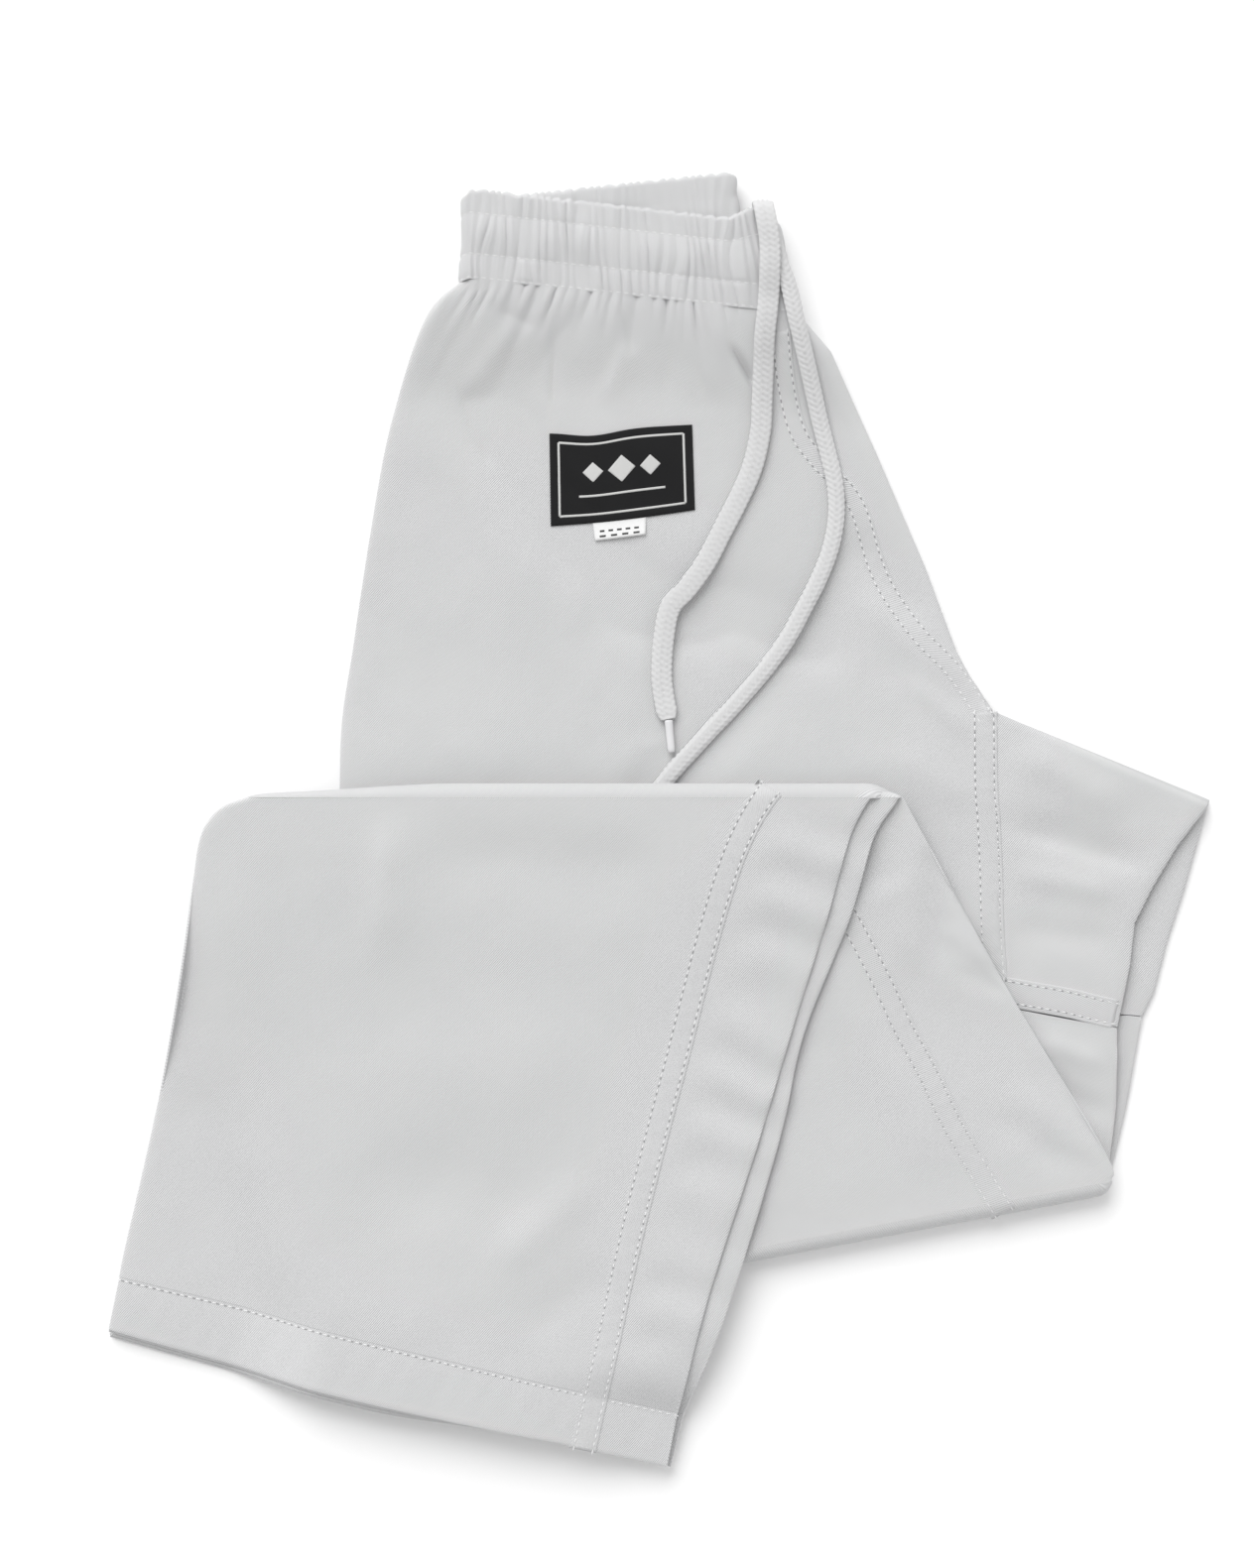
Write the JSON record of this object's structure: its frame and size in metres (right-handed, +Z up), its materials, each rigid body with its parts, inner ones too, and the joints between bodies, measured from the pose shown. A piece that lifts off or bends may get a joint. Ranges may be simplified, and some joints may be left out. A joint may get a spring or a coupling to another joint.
{
  "type": "martial arts trousers",
  "caption": "White cotton martial arts trousers folded in a Z, with a gathered elastic waistband, a drawcord, a crotch gusset, a woven label and turned hems.",
  "frame": {"origin": "bottom centre of the folded trousers' box, on the surface that they lie on", "axes": "+Z up out of the pile, +Y from the hems towards the waistband, +X towards the front rise and gusset"},
  "size_m": [0.4644, 0.5448, 0.0227],
  "materials": {
    "twill": "bleached white cotton twill, matt",
    "elastic": "woven white elastic, matt",
    "cord": "flat white cotton braid, matt",
    "aglet": "shrunk clear-white plastic film",
    "label": "black woven damask label, slightly satin",
    "tag": "white satin care ribbon"
  },
  "bodies": {
    "hips": {"drawcord_in_channel": "cord", "drawcord_left_end": "cord", "drawcord_right_end": "cord", "left_aglet": "aglet", "left_back_gusset": "twill", "left_back_thigh": "twill", "left_front_gusset": "twill", "left_front_thigh": "twill", "right_aglet": "aglet", "right_back_gusset": "twill", "right_back_thigh": "twill", "right_front_gusset": "twill", "right_front_thigh": "twill", "waistband_elastic": "elastic", "waistband_inner_casing": "twill", "waistband_outer_casing": "twill", "woven_label": "label"},
    "knee": {"left_back_knee": "twill", "left_front_knee": "twill", "right_back_knee": "twill", "right_front_knee": "twill"},
    "shin": {"left_back_hem": "twill", "left_back_shin": "twill", "left_front_hem": "twill", "left_front_shin": "twill", "right_back_hem": "twill", "right_back_shin": "twill", "right_front_hem": "twill", "right_front_shin": "twill"},
    "tag": {"care_tag": "tag"}
  },
  "joints": [
    {"name": "knee_fold", "type": "hinge", "parent": "hips", "child": "knee", "pos_m": [0.0354, -0.1873, 0.0064], "axis": [0.9829, 0.1839, 0], "range_deg": [0, 165]},
    {"name": "shin_fold", "type": "hinge", "parent": "knee", "child": "shin", "pos_m": [0, 0.0152, 0.0166], "axis": [-1, 0, 0], "range_deg": [0, 175]},
    {"name": "care_tag_flip", "type": "hinge", "parent": "hips", "child": "tag", "pos_m": [-0.01549, 0.12683, 0.0073], "axis": [-0.9969, -0.0785, 0], "range_deg": [0, 165]}
  ]
}
